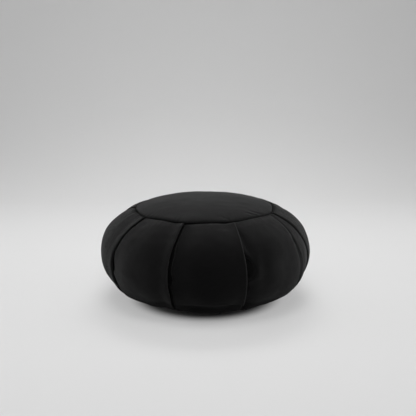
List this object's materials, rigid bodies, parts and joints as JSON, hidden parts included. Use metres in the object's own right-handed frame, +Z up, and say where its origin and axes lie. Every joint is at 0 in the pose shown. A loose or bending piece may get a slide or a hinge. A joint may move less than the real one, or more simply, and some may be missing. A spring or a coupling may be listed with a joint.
{
  "type": "round zafu meditation cushion",
  "caption": "Round, firmly filled meditation cushion of black cotton: a crowned round top over a full side of knife pleats, flat where it rests.",
  "frame": {"origin": "middle of the flat foot, on the surface that the cushion rests on", "axes": "+Z up through the crown; -Y towards the camera of the picture; +X to its right"},
  "size_m": [0.36, 0.3599, 0.1811],
  "materials": {
    "black_cotton": "matt black plain-weave cotton, tightly filled"
  },
  "bodies": {
    "root": {"top_round": "black_cotton", "pleated_side": "black_cotton", "bottom_round": "black_cotton"}
  },
  "joints": []
}
